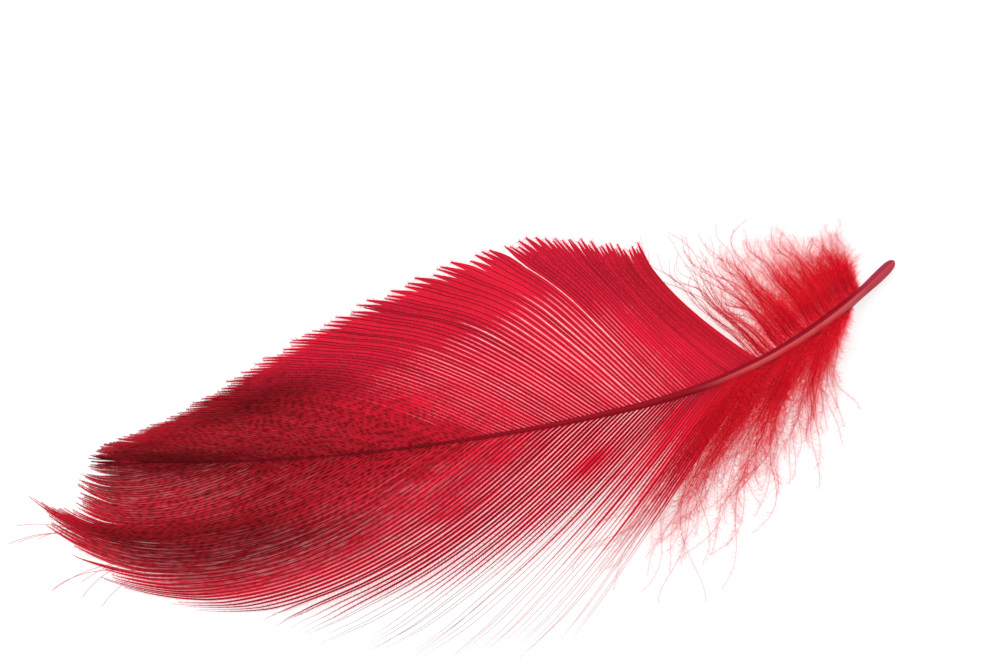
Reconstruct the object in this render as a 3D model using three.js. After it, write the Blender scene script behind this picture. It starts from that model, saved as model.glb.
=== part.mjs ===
// A drake mallard's flank feather, dyed red, lying convex side up on a flat surface.
// Millimetres, +Z up, origin under the middle of the feather. The shaft runs along X, from the bare end of
// the quill at +X to the tip at -X. The near vane and its down are on the -Y side, the far ones on +Y.
import * as THREE from "three";
import { LoftGeometry } from "three/addons/geometries/LoftGeometry.js";

const { clamp, degToRad, lerp, smoothstep } = THREE.MathUtils;

// The shaft's run: a long shallow sweep, a hook towards the bare end, and an arch off the surface
const QUILL_END_X = 44.1;
const SHAFT_TIP_X = -31;
const SWEEP_LOWEST_X = -16.8;
const SWEEP_LOWEST_Y = -3.77;
const SWEEP_PER_MM = 0.00425;
const HOOK_FROM_X = 16.5;
const HOOK_PER_MM = 0.00178;
const HOOK_POWER = 2.5;
const ARCH_HEIGHT = 4.6;

// The shaft's half width at distances from the bare end: rounded end, quill, neck, then the tapering rachis
const SHAFT_STATIONS = [0, 0.25, 0.7, 1.6, 3.4, 5.2, 9, 17, 28, 37, 46, 56, 70, 82];
const SHAFT_RADII = [0.22, 0.38, 0.51, 0.58, 0.56, 0.48, 0.56, 0.52, 0.38, 0.28, 0.22, 0.17, 0.13, 0.12];
const SHAFT_RINGS = 46;
const SHAFT_SIDES = 10;
const GROOVE_DEPTH = 0.22; // share of the radius taken out of the rachis's underside
const GROOVE_FROM = 7;
const GROOVE_FULL_AT = 12;

// Where things sit along the shaft, measured back from its tip
const TIP_BARB = 0.6;
const VANE_LENGTH = 63;
const DOWN_FROM = 63.6;
const ROOT_GAP = 0.05; // between the shaft's flank and the roots of the barbs

// How barbs grow on each side, at even steps along the vane from its tip to its base and along the down behind
// it. Headings are in degrees from the feather's long axis, turns are how far a barb bends towards the tip.
const NEAR = {
  sign: -1,
  vane: {
    heading: evenSteps([3, 20, 30, 34, 42, 47, 51, 58]),
    turn: evenSteps([8, 41, 52, 70, 56, 40, 20, 5]),
    length: evenSteps([5.5, 14.5, 24.5, 39, 41, 38.5, 37, 33.5]),
  },
  down: {
    heading: evenSteps([58, 62, 66]),
    turn: evenSteps([2, -12, -28]),
    length: evenSteps([26, 22, 12]),
  },
  downTo: 75.4,
};
const FAR = {
  sign: 1,
  vane: {
    heading: evenSteps([12, 17, 20, 25, 31, 39, 51, 40]),
    turn: evenSteps([2, 8, 16, 22, 21, 13, -8, -31]),
    length: evenSteps([5.5, 12.5, 18.5, 23, 26, 26.5, 23.5, 18.5]),
  },
  down: {
    heading: evenSteps([40, 52, 66]),
    turn: evenSteps([-31, -22, -8]),
    length: evenSteps([19, 14, 9]),
  },
  downTo: 76.9,
};
const TURN_POWER = 1.5; // barbs bend more towards their ends
const BARB_STEPS = 24;
const FLAT_FROM = 0.86; // the outer end of each barb lies on the surface
const DROOP_POWER = 1.7;

// How a vane or a tuft of down is cut into locks along its edge
const VANE_FORM = {
  locks: 17,
  columns: 2,
  webRows: 7,
  lockRows: 4,
  split: 0.74,
  splitSpread: 0.1,
  rootThickness: 0.4,
  tipThickness: 0.24,
  crown: 0,
};
const DOWN_FORM = {
  locks: 10,
  columns: 2,
  webRows: 3,
  lockRows: 7,
  split: 0.42,
  splitSpread: 0.09,
  rootThickness: 0.7,
  tipThickness: 0.3,
  crown: 0.8,
};
const LOCK_TAPER = 1.4; // how late a lock narrows towards its point
const SPLIT_RHYTHM = 2.4; // steps the depth of the splits from lock to lock, in radians

const DYED_SHAFT = { color: 0x9c2a30, roughness: 0.4, metalness: 0 };
const DYED_VANE = { color: 0xa80f1c, roughness: 0.65, metalness: 0 };
const DYED_DOWN = { color: 0xc81a2a, roughness: 0.9, metalness: 0 };

// The shaft's centreline as a curve, from the bare end of the quill to the tip.
class ShaftCurve extends THREE.Curve {
  getPoint(t, target = new THREE.Vector3()) {
    const x = lerp(QUILL_END_X, SHAFT_TIP_X, t);
    const hook = Math.max(0, x - HOOK_FROM_X) ** HOOK_POWER;
    const y = SWEEP_LOWEST_Y + SWEEP_PER_MM * (x - SWEEP_LOWEST_X) ** 2 + HOOK_PER_MM * hook;
    const z = SHAFT_RADII[3] + ARCH_HEIGHT * (1 - (2 * t - 1) ** 2);
    return target.set(x, y, z);
  }
}

const shaft = new ShaftCurve();
shaft.arcLengthDivisions = 600;
const SHAFT_LENGTH = shaft.getLength();

// Half width of the shaft at a distance from its bare end, read between the stations.
function shaftRadius(distance) {
  const after = SHAFT_STATIONS.findIndex((station) => station >= distance);
  if (after <= 0) return after < 0 ? SHAFT_RADII.at(-1) : SHAFT_RADII[0];
  const [from, to] = [SHAFT_STATIONS[after - 1], SHAFT_STATIONS[after]];
  return lerp(SHAFT_RADII[after - 1], SHAFT_RADII[after], (distance - from) / (to - from));
}

// The shaft at a distance from its bare end: centre, direction towards the tip and level sideways direction.
function shaftFrame(distance) {
  const u = clamp(distance / SHAFT_LENGTH, 0, 1);
  const centre = shaft.getPointAt(u);
  const forward = shaft.getTangentAt(u);
  const sideways = new THREE.Vector3(forward.y, -forward.x, 0).normalize();
  return { centre, forward, sideways };
}

// One ring of the shaft: round at the quill, with a shallow groove along the rachis's underside.
function shaftRing(distance) {
  const { centre, forward, sideways } = shaftFrame(distance);
  const upward = new THREE.Vector3().crossVectors(sideways, forward);
  const groove = GROOVE_DEPTH * smoothstep(distance, GROOVE_FROM, GROOVE_FULL_AT);
  return Array.from({ length: SHAFT_SIDES }, (_, i) => {
    const angle = (2 * Math.PI * (i + 0.5)) / SHAFT_SIDES;
    const underneath = Math.max(0, -Math.sin(angle)) ** 4;
    const radius = shaftRadius(distance) * (1 - groove * underneath);
    return centre
      .clone()
      .addScaledVector(sideways, -radius * Math.cos(angle))
      .addScaledVector(upward, radius * Math.sin(angle));
  });
}

// Rings crowd towards the rounded end of the quill, where the width changes fastest.
function makeShaft() {
  const rings = Array.from({ length: SHAFT_RINGS }, (_, i) => {
    const share = i / (SHAFT_RINGS - 1);
    return shaftRing(SHAFT_LENGTH * share ** 1.6);
  });
  return new LoftGeometry(rings, { capStart: true, capEnd: true });
}

// A smooth curve through values at even steps.
function evenSteps(values) {
  return new THREE.SplineCurve(values.map((value, step) => new THREE.Vector2(step, value)));
}

// The barb that leaves one side of the shaft at a distance back from its tip: how it heads, turns and ends.
function barbLaw(side, back) {
  const inVane = back < DOWN_FROM;
  const table = inVane ? side.vane : side.down;
  const place = inVane ? back / VANE_LENGTH : (back - DOWN_FROM) / (side.downTo - DOWN_FROM);
  const read = (key) => table[key].getPoint(clamp(place, 0, 1)).y;
  return { heading: degToRad(read("heading")), turn: degToRad(read("turn")), length: read("length") };
}

// How far a barb has come at a share of its length, along the feather's long axis and across it. Its direction
// turns away from its heading, slowly at first, and is summed in short steps.
function barbReach({ heading, turn, length }, share) {
  const step = (length * share) / BARB_STEPS;
  let along = 0;
  let across = 0;
  for (let i = 0; i < BARB_STEPS; i += 1) {
    const angle = heading - turn * ((share * (i + 0.5)) / BARB_STEPS) ** TURN_POWER;
    along += step * Math.cos(angle);
    across += step * Math.sin(angle);
  }
  return { along, across };
}

// A point on the underside of a barb, at a share of its length. It droops from the shaft to the surface.
function barbPoint(side, back, share) {
  const distance = SHAFT_LENGTH - back;
  const { centre, sideways } = shaftFrame(distance);
  const { along, across } = barbReach(barbLaw(side, back), share);
  const root = shaftRadius(distance) + ROOT_GAP;
  const drooped = Math.min(1, share / FLAT_FROM) ** DROOP_POWER;
  return new THREE.Vector3(
    centre.x + side.sign * root * sideways.x - along,
    centre.y + side.sign * (root * sideways.y + across),
    (centre.z - VANE_FORM.rootThickness / 2) * (1 - drooped),
  );
}

// A closed, comb-like solid: a web along the shaft whose outer edge is split into locks that taper to points.
// Its underside follows the barbs, and its top lies a thickness above, crowned across each lock.
function makeComb(side, from, to, form) {
  const { locks, columns, webRows, lockRows, rootThickness, tipThickness } = form;
  const positions = [];
  const triangles = [];
  const step = (to - from) / locks;
  const lastColumn = locks * columns;
  const splitAt = (edge) => form.split + form.splitSpread * Math.sin(SPLIT_RHYTHM * edge);

  function layer(back, share, crowned) {
    const thickness = lerp(rootThickness, tipThickness, share) * (1 + form.crown * crowned);
    const foot = barbPoint(side, back, share);
    positions.push(foot.x, foot.y, foot.z, foot.x, foot.y, foot.z + thickness);
    const index = positions.length / 3;
    return { low: index - 2, high: index - 1 };
  }

  function quad(a, b, c, d) {
    const corners = side.sign > 0 ? [a, b, c, a, c, d] : [a, c, b, a, d, c];
    for (let i = 0; i < corners.length; i += 3) {
      const [p, q, r] = corners.slice(i, i + 3);
      if (p !== q && q !== r && r !== p) triangles.push(p, q, r);
    }
  }

  // A strip between two rows of layers, with a wall down either side where nothing joins it.
  function strip(row, next, wallAtStart, wallAtEnd) {
    for (let i = 0; i + 1 < row.length; i += 1) {
      quad(row[i].high, row[i + 1].high, next[i + 1].high, next[i].high);
      quad(row[i].low, next[i].low, next[i + 1].low, row[i + 1].low);
    }
    if (wallAtStart) quad(next[0].low, row[0].low, row[0].high, next[0].high);
    if (wallAtEnd) quad(row.at(-1).low, next.at(-1).low, next.at(-1).high, row.at(-1).high);
  }

  const splitOf = (column) => {
    const edge = Math.floor(column / columns);
    const between = column / columns - edge;
    return lerp(splitAt(edge), splitAt(edge + 1), between);
  };
  const crownOf = (column) => Math.sin((Math.PI * (column % columns)) / columns);
  const web = Array.from({ length: webRows + 1 }, (_, row) =>
    Array.from({ length: lastColumn + 1 }, (_unused, column) => {
      const share = (splitOf(column) * row) / webRows;
      return layer(from + (step * column) / columns, share, crownOf(column));
    }),
  );
  for (let i = 0; i < lastColumn; i += 1) {
    quad(web[0][i].low, web[0][i + 1].low, web[0][i + 1].high, web[0][i].high);
  }
  for (let row = 0; row < webRows; row += 1) strip(web[row], web[row + 1], true, true);

  for (let lock = 0; lock < locks; lock += 1) {
    const first = lock * columns;
    const middle = from + step * (lock + 0.5);
    let row = web[webRows].slice(first, first + columns + 1);
    for (let i = 1; i <= lockRows; i += 1) {
      const out = i / lockRows;
      const width = 1 - out ** LOCK_TAPER;
      const point = i === lockRows ? layer(middle, 1, 0) : null;
      const next = row.map((_, k) => {
        if (point) return point;
        const back = middle + (from + (step * (first + k)) / columns - middle) * width;
        return layer(back, lerp(splitOf(first + k), 1, out), crownOf(k) * width);
      });
      strip(row, next, true, true);
      row = next;
    }
  }

  const geometry = new THREE.BufferGeometry();
  geometry.setAttribute("position", new THREE.Float32BufferAttribute(positions, 3));
  geometry.setIndex(triangles);
  geometry.computeVertexNormals();
  return geometry;
}

function piece(name, geometry, finish) {
  const mesh = new THREE.Mesh(geometry, new THREE.MeshStandardMaterial(finish));
  mesh.name = name;
  return mesh;
}

const feather = new THREE.Group();
feather.add(
  piece("shaft", makeShaft(), DYED_SHAFT),
  piece("near_vane", makeComb(NEAR, TIP_BARB, VANE_LENGTH, VANE_FORM), DYED_VANE),
  piece("far_vane", makeComb(FAR, TIP_BARB, VANE_LENGTH, VANE_FORM), DYED_VANE),
  piece("near_down", makeComb(NEAR, DOWN_FROM, NEAR.downTo, DOWN_FORM), DYED_DOWN),
  piece("far_down", makeComb(FAR, DOWN_FROM, FAR.downTo, DOWN_FORM), DYED_DOWN),
);

// The origin is on the surface, under the middle of the feather's box.
const box = new THREE.Box3().setFromObject(feather);
const middle = box.getCenter(new THREE.Vector3());
feather.position.set(-middle.x, -middle.y, -box.min.z);

export default feather;
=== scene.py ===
"""A drake mallard's flank feather, dyed red: a shaft, two vanes of barbs and barbules, and down at the base.

Lengths are in millimetres until a mesh is made. `back` is a distance along the shaft from its tip, `share` is
the part of a barb's length from its root, and a side's sign is -1 for the near vane and +1 for the far one.
"""

import math

import bpy
import numpy as np
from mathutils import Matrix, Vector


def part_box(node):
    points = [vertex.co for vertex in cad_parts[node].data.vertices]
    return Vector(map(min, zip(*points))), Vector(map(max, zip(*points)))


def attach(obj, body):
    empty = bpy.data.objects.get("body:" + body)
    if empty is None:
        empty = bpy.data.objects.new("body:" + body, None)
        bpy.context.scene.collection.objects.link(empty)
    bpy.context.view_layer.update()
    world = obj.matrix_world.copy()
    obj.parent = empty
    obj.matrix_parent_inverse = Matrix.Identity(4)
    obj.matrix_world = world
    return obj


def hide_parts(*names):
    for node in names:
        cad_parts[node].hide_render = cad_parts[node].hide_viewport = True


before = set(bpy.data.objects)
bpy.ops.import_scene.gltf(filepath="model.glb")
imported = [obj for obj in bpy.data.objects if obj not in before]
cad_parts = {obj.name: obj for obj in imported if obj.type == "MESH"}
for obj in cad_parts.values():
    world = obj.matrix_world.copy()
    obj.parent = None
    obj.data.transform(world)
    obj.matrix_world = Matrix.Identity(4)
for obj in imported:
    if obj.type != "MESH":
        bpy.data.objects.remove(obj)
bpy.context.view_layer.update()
rng = np.random.default_rng(41)

MM = 0.001
BAKE_MAP = "OFBake"
FINENESS = "fineness"

# The shaft's run, as in the part's source
QUILL_END_X = 44.1
SHAFT_TIP_X = -31.0
SWEEP_LOWEST_X = -16.8
SWEEP_LOWEST_Y = -3.77
SWEEP_PER_MM = 0.00425
HOOK_FROM_X = 16.5
HOOK_PER_MM = 0.00178
HOOK_POWER = 2.5
ARCH_HEIGHT = 4.6
SHAFT_STATIONS = [0, 0.25, 0.7, 1.6, 3.4, 5.2, 9, 17, 28, 37, 46, 56, 70, 82]
SHAFT_RADII = [0.22, 0.38, 0.51, 0.58, 0.56, 0.48, 0.56, 0.52, 0.38, 0.28, 0.22, 0.17, 0.13, 0.12]
SHAFT_FOOT = SHAFT_RADII[3]

# Where barbs leave the shaft, and how they turn and droop
TIP_BARB = 0.6
VANE_LENGTH = 63.0
DOWN_FROM = 63.6
TURN_POWER = 1.5
FLAT_FROM = 0.86
DROOP_POWER = 1.7
ROOT_CURL = 8.0
ROOT_CURL_OVER = 1.3
ROOT_OUT = 0.4

# How barbs grow on each side. Lists hold values at even steps along the vane from its tip to its base, or
# along the down behind it. Angles are in degrees from the feather's long axis.
# vane, down: the direction a barb leaves in, how far it turns, and its length, as in the part's source.
# step: the space between barbs. gather: how far they draw into locks. sweep: how far their ends trail.
# web_end: the share of a barb where its web ends, over 1 where it lasts to the end. opening: the gap
# between webs, 1 at its widest. edge_close: how far it closes outwards. patchy, slits: how uneven it is.
# tip_tone: the dye's tone at the tip. tip_sheen: painted sheen, what the tip gains outwards, standing for
# sheen and light through the gaps at the barbs' ends. outer_depth, base_depth, edge_depth: what it loses
# outwards, at
# the base and along the edge. barb_depth: open barbs' own tone.
# glint, middle_glint: how strong the painted glints are near the tip and in the middle, pale flecks and fine
# lines that stand for sheen and for light showing through the web. hair: 1 where open barbs end in hairs.
# strays: where tufts of stray hairs leave the shaft. tip_strands: barbs that run on past its tip.
# down_to: where the down ends. fluff: how full its barbules are. down_crowding, down_overlap: how its
# barbs crowd towards the vane, and how far inside it they begin.
NEAR = {
    "name": "near",
    "sign": -1.0,
    "vane": {
        "heading": [3, 20, 30, 34, 42, 47, 51, 58],
        "turn": [8, 41, 52, 70, 56, 40, 20, 5],
        "length": [5.5, 14.5, 24.5, 39, 41, 38.5, 37, 33.5],
    },
    "step": [0.62, 0.7, 0.65, 0.4],
    "web_end": [0.9, 1.1, 1.3, 1.3, 1.18, 0.86, 0.58, 0.56],
    "opening": [0, 0, 0, 0, 0.22, 0.86, 0.6, 0],
    "gather": [1, 0.55, 0.2, 0.22, 0.7, 0.55, 0.4, 0.25],
    "sweep": [0, 1, 3, 3.5, 2, 0, 0, 0],
    "slits": 0.36,
    "middle_glint": 0.75,
    "patchy": 0.2,
    "tip_tone": 0.32,
    "tip_sheen": 0.2,
    "outer_depth": 0.0,
    "barb_depth": 0.28,
    "base_depth": -0.1,
    "edge_close": 0.0,
    "strays": [15, 20, 25.5, 31],
    "tip_strands": 10,
    "hair": 1.0,
    "glint": 0.8,
    "edge_depth": 0.62,
    "down": {"heading": [58, 62, 66], "turn": [2, -12, -28], "length": [26, 22, 12]},
    "down_to": 75.4,
    "fluff": [1, 1, 0.8],
    "down_crowding": 1.15,
    "down_overlap": 2.4,
}
FAR = {
    "name": "far",
    "sign": 1.0,
    "vane": {
        "heading": [12, 17, 20, 25, 31, 39, 51, 40],
        "turn": [2, 8, 16, 22, 21, 13, -8, -31],
        "length": [5.5, 12.5, 18.5, 23, 26, 26.5, 23.5, 18.5],
    },
    "step": [0.56, 0.62, 0.46, 0.36],
    "web_end": [1.0, 1.2, 1.3, 1.3, 1.3, 1.3, 1.3, 1.3],
    "opening": [0, 0, 0, 0.2, 0.62, 0.82, 0.74, 0],
    "gather": [0.8, 0.3, 0.1, 0.06, 0.06, 0.06, 0.06, 0.05],
    "sweep": [0, 1, 2, 2.5, 2.5, 2.5, 1.5, 0],
    "slits": 0.5,
    "middle_glint": 0.0,
    "patchy": 0.1,
    "tip_tone": 0.22,
    "tip_sheen": 0.25,
    "outer_depth": 0.26,
    "barb_depth": 0.5,
    "base_depth": 0.17,
    "edge_close": 0.85,
    "strays": [],
    "tip_strands": 0,
    "hair": 0.0,
    "glint": 0.4,
    "edge_depth": 0.4,
    "down": {"heading": [40, 52, 66], "turn": [-31, -22, -8], "length": [19, 14, 9]},
    "down_to": 76.9,
    "fluff": [0.32, 1.15, 1.2],
    "down_crowding": 0.85,
    "down_overlap": 0.8,
}

# Fineness of the fibres
BARB_POINTS = 57
BARB_SIDES = 4
BARBULES = 420
DOWN_BARBS = 136
DOWN_POINTS = 41
DOWN_SIDES = 3
FLUFF_PER_SIDE = 176
FLUFF_PARTS = 2
STRAYS_EACH = 5
SHEET_ROWS = 520
SHAFT_RINGS = 200
SHAFT_SIDES = 24

# Thicknesses of the fibres: radii at the root and the end, and widths
BARB_RADII = (0.085, 0.055)
HAIR_RADII = (0.036, 0.014)
STRAY_RADII = (0.045, 0.02)
TIP_STRAND_RADII = (0.13, 0.04)
DOWN_RADII = (0.05, 0.012)
BARBULE_WIDTHS = (0.028, 0.055)
FLUFF_WIDTHS = (0.032, 0.026, 0.008)

# Parts of a vane, as the distances back between which each begins or ends
TIP_LOCKS = (3.0, 11.0)
SLIT_PART = (30.0, 42.0)
OPEN_PART = (36.0, 46.0)
HAIR_PART = (39.0, 45.0)

# How the fibres lie. A web reaches a share of the way to its neighbour.
LONGEST = 1.05
FLOOR_GAP = 0.12
LOWEST = 0.004
WEB_DROP = 0.05
WEB_WHOLE = 0.6
WEB_OPEN = 0.37
WEB_LEAST = 0.02
DOWN_LIFT = 1.5
SHEET_MARGIN = 1.5

# How barbs gather into locks: limits, spreads, and pairs for the closed and the open part
LOCK_SMALLEST = (4.0, 3.0)
LOCK_LARGEST = (9.0, 7.0)
DOWN_LOCKS = (3.0, 8.0)
SPLIT_AT = (0.68, 0.88)
TIP_SPLIT_AT = (0.4, 0.6)
PULL = (0.4, 0.85)
HAIR_PULL = (0.2, 0.75)
DRIFT = 0.5
HAIR_DRIFT = 0.85
GATHER_POWER = 1.8
HOOKED_PART = 0.35
END_HOOKS = (1.0, 4.0)
END_HOOK_RUN = (0.74, 0.31)
END_SWEEP_RUN = (0.55, 0.5)
LOOSE_SPREAD = (0.06, 0.3)
STRAND_SPREAD = 0.08
PLACE_SPREAD = 0.03
LOCK_LIFT = 0.25
WIDEST_STEP = 1.3

# The shaft's section, and the paler band on it, partly a painted highlight, as shares of the way round
GROOVE_DEPTH = 0.22
TOP_FLAT = 0.1
END_ROUND = 0.6
END_RADIUS = 0.02
RADIUS_BLUR = 4
BAND_CENTRE = 0.135
BAND_HALF = 0.11

# Millimetres that the map's unit square covers
ALONG_SCALE = 46.0
BACK_SCALE = 80.0

# Colours beside the dye's own: pinks for painted glints on the web and the down, the barbules' own pink, and
# reds for the shaft, whose paler pair is partly a painted highlight
GLINT_PINK = (0.46, 0.16, 0.18, 1.0)
GLINT_LINE_PINK = (0.66, 0.3, 0.33, 1.0)
BARBULE_PINK = (1.0, 0.04, 0.14, 1.0)
FLUFF_GLINT_PINK = (0.98, 0.16, 0.2, 1.0)
SHAFT_DEEP = ((0.2, 0.003, 0.01, 1.0), (0.36, 0.006, 0.018, 1.0))
SHAFT_HIGHLIGHT_REDS = ((0.52, 0.065, 0.075, 1.0), (0.72, 0.115, 0.125, 1.0))
SHAFT_TIP_RED = (0.13, 0.002, 0.008, 1.0)
QUILL_REDS = ((0.36, 0.03, 0.06, 1.0), (0.56, 0.06, 0.085, 1.0))
WHITE = (1.0, 1.0, 1.0, 1.0)


def smoothstep(x, low, high):
    """0 below low, 1 above high, and an S-shaped rise between them."""
    t = np.clip((x - low) / (high - low), 0.0, 1.0)
    return t * t * (3.0 - 2.0 * t)


def mix(a, b, share):
    """The value a share of the way from a to b."""
    return a + (b - a) * share


def shaft_line(count=1601):
    """The shaft's centreline: y is a parabola plus a hook near the bare end, z is a parabolic arch.
    Returns the distances along it from the bare end and the points."""
    t = np.linspace(0.0, 1.0, count)
    x = mix(QUILL_END_X, SHAFT_TIP_X, t)
    hook = HOOK_PER_MM * np.maximum(0.0, x - HOOK_FROM_X) ** HOOK_POWER
    y = SWEEP_LOWEST_Y + SWEEP_PER_MM * (x - SWEEP_LOWEST_X) ** 2 + hook
    z = SHAFT_FOOT + ARCH_HEIGHT * (1.0 - (2.0 * t - 1.0) ** 2)
    points = np.stack([x, y, z], axis=-1)
    steps = np.linalg.norm(np.diff(points, axis=0), axis=1)
    return np.concatenate([[0.0], np.cumsum(steps)]), points


LINE_DISTANCES, LINE_POINTS = shaft_line()
SHAFT_LENGTH = LINE_DISTANCES[-1]


def shaft_centre(distance):
    """Points on the centreline at distances from the bare end, read between its samples."""
    return np.stack([np.interp(distance, LINE_DISTANCES, LINE_POINTS[:, k]) for k in range(3)], axis=-1)


def shaft_radius(distance):
    """The shaft's half width at distances from the bare end."""
    return np.interp(distance, SHAFT_STATIONS, SHAFT_RADII)


def shaft_frame(distance, reach=0.05):
    """Forward, level sideways and upward directions of the shaft, from two points a little apart."""
    forward = shaft_centre(np.minimum(distance + reach, SHAFT_LENGTH))
    forward -= shaft_centre(np.maximum(distance - reach, 0.0))
    forward /= np.linalg.norm(forward, axis=-1, keepdims=True)
    sideways = np.stack([forward[..., 1], -forward[..., 0], np.zeros_like(forward[..., 0])], axis=-1)
    sideways /= np.linalg.norm(sideways, axis=-1, keepdims=True)
    return forward, sideways, np.cross(sideways, forward)


def even_steps(values, place):
    """A smooth curve through values at even steps, read at places from 0 to 1: a cubic between neighbours
    whose slope at each value is half the rise between the values on either side of it."""
    values = np.asarray(values, float)
    last = len(values) - 1
    place = np.clip(place, 0.0, 1.0) * last
    step = np.minimum(place.astype(int), last - 1)
    t = place - step
    before, start, end, after = (values[np.clip(step + k, 0, last)] for k in (-1, 0, 1, 2))
    leave, arrive = (end - before) / 2.0, (after - start) / 2.0
    cube = 2.0 * start - 2.0 * end + leave + arrive
    square = 3.0 * end - 3.0 * start - 2.0 * leave - arrive
    return ((cube * t + square) * t + leave) * t + start


def barb_law(side, region, back):
    """Heading, turn and length of the barb that leaves the shaft at a distance back from its tip."""
    place = back / VANE_LENGTH
    if region == "down":
        place = (back - DOWN_FROM) / (side["down_to"] - DOWN_FROM)
    keys = ("heading", "turn", "length")
    heading, turn, length = (even_steps(side[region][key], place) for key in keys)
    return np.radians(heading), np.radians(turn), length


def carried(side, backs, angle, length, shares):
    """Points of barbs that leave the shaft at distances back from its tip. Each barb's direction, given at
    every share of its length, is summed along it, and its height droops from the shaft to the surface."""
    step = np.diff(shares)[None, :] * length[:, None]

    def summed(values):
        middle = (values[:, 1:] + values[:, :-1]) / 2.0
        return np.concatenate([np.zeros((len(backs), 1)), np.cumsum(middle * step, axis=1)], axis=1)

    distance = SHAFT_LENGTH - backs
    centre = shaft_centre(distance)
    sideways = shaft_frame(distance)[1]
    root = centre + side["sign"] * ROOT_OUT * shaft_radius(distance)[:, None] * sideways
    drooped = np.minimum(1.0, shares / FLAT_FROM) ** DROOP_POWER
    x = root[:, :1] - summed(np.cos(angle))
    y = root[:, 1:2] + side["sign"] * summed(np.sin(angle))
    z = root[:, 2:] * (1.0 - drooped)
    return np.stack([x, y, z], axis=-1)


def barb_sheet(side, backs, shares):
    """The surface that a vane's barbs lie in, as a grid over back and share. A barb's direction starts at its
    heading, a little flatter at the very root, and turns more and more."""
    heading, turn, length = barb_law(side, "vane", backs)
    curl = np.radians(ROOT_CURL) * np.exp(-shares * length[:, None] / ROOT_CURL_OVER)
    angle = heading[:, None] - turn[:, None] * shares**TURN_POWER - curl
    return carried(side, backs, angle, length, shares)


def strands_on(sheet, backs, strand_backs):
    """Points of strands on a sheet. Each row of strand_backs gives a strand's back at every share of the
    grid, and the sheet is read between its two nearest barbs there."""
    place = np.clip((strand_backs - backs[0]) / (backs[1] - backs[0]), 0.0, len(backs) - 1.001)
    low = place.astype(int)
    part = (place - low)[..., None]
    column = np.arange(strand_backs.shape[1])[None, :]
    return sheet[low, column] * (1.0 - part) + sheet[low + 1, column] * part


def directions(points):
    """Forward, level sideways and upward unit vectors at every point of every strand."""
    forward = np.gradient(points, axis=1)
    forward /= np.linalg.norm(forward, axis=-1, keepdims=True) + 1e-12
    sideways = np.cross(np.array([0.0, 0.0, 1.0]), forward)
    sideways /= np.linalg.norm(sideways, axis=-1, keepdims=True) + 1e-12
    return forward, sideways, np.cross(forward, sideways)


def read_along(values, shares):
    """Values sampled evenly along strands, read at shares of the strands' lengths, strand by strand."""
    place = np.clip(shares, 0.0, 1.0) * (values.shape[1] - 1)
    low = np.minimum(place.astype(int), values.shape[1] - 2)
    part = place - low
    row = np.arange(values.shape[0]).reshape((-1,) + (1,) * (shares.ndim - 1))
    if values.ndim == 3:
        part = part[..., None]
    return values[row, low] * (1.0 - part) + values[row, low + 1] * part


def ring_faces(count, samples, sides):
    """Faces of tubes whose rings of points follow each other: quads from ring to ring, and a face over either
    end of each tube."""
    i, j, k = np.meshgrid(np.arange(count), np.arange(samples - 1), np.arange(sides), indexing="ij")
    after = (k + 1) % sides
    ring = (i * samples + j) * sides
    quads = np.stack([ring + k, ring + after, ring + sides + after, ring + sides + k], axis=-1)
    first = (np.arange(count) * samples * sides)[:, None]
    last = first + (samples - 1) * sides
    corner = np.arange(sides)[None, :]
    return [quads.reshape(-1, 4), np.concatenate([first + corner[:, ::-1], last + corner])]


def tubes(shares, points, radius, sides, backs, length):
    """Closed tubes along barbs: a ring of points round each sample. Returns vertices, faces and a map of the
    distance along the barb and the barb's place on the shaft, plus the way across the tube."""
    _, sideways, upward = directions(points)
    angle = 2.0 * np.pi * np.arange(sides) / sides
    across = radius[..., None] * np.cos(angle)
    above = radius[..., None] * np.sin(angle)
    vertices = points[:, :, None] + across[..., None] * sideways[:, :, None]
    vertices += above[..., None] * upward[:, :, None]
    along = np.repeat((shares[None, :] * length[:, None]).reshape(-1), sides)
    aside = np.repeat(backs, len(shares) * sides) + across.reshape(-1)
    uv = np.stack([along / ALONG_SCALE, aside / BACK_SCALE], axis=-1)
    return vertices.reshape(-1, 3), ring_faces(*points.shape[:2], sides), uv


def add_object(name, data):
    """A new object in the scene, at its origin."""
    thing = bpy.data.objects.new(name, data)
    bpy.context.scene.collection.objects.link(thing)
    return thing


def make_mesh(name, vertices, face_groups, uv, smooth=True, fineness=None):
    """A mesh object from arrays: vertices in millimetres in the source's frame, groups of faces with equal
    corner counts, and for each vertex a map coordinate and, where given, its fineness."""
    mesh = bpy.data.meshes.new(name)
    corners = np.concatenate([faces.reshape(-1) for faces in face_groups]).astype(np.int32)
    totals = np.concatenate([np.full(len(faces), faces.shape[1]) for faces in face_groups]).astype(np.int32)
    starts = np.concatenate([[0], np.cumsum(totals)[:-1]]).astype(np.int32)
    mesh.vertices.add(len(vertices))
    mesh.vertices.foreach_set("co", ((vertices - ORIGIN) * MM).astype(np.float32).reshape(-1))
    mesh.loops.add(len(corners))
    mesh.loops.foreach_set("vertex_index", corners)
    mesh.polygons.add(len(totals))
    mesh.polygons.foreach_set("loop_start", starts)
    mesh.polygons.foreach_set("loop_total", totals)
    mesh.polygons.foreach_set("use_smooth", np.full(len(totals), smooth))
    layer = mesh.uv_layers.new(name=BAKE_MAP)
    layer.data.foreach_set("uv", uv[corners].astype(np.float32).reshape(-1))
    if fineness is not None:
        attribute = mesh.attributes.new(FINENESS, "FLOAT", "POINT")
        attribute.data.foreach_set("value", fineness.astype(np.float32))
    mesh.update()
    return add_object(name, mesh)


def dress(piece, material, node):
    """Gives a piece its material, hangs it from the body that carries it, and hides the imported solid it
    stands for.
    """
    piece.data.materials.append(material)
    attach(piece, "root")
    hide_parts(node)


# Node helpers for the materials


def new_material(name):
    """A material and its node tree, left empty."""
    material = bpy.data.materials.new(name)
    material.use_nodes = True
    material.node_tree.nodes.clear()
    return material, material.node_tree


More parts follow.
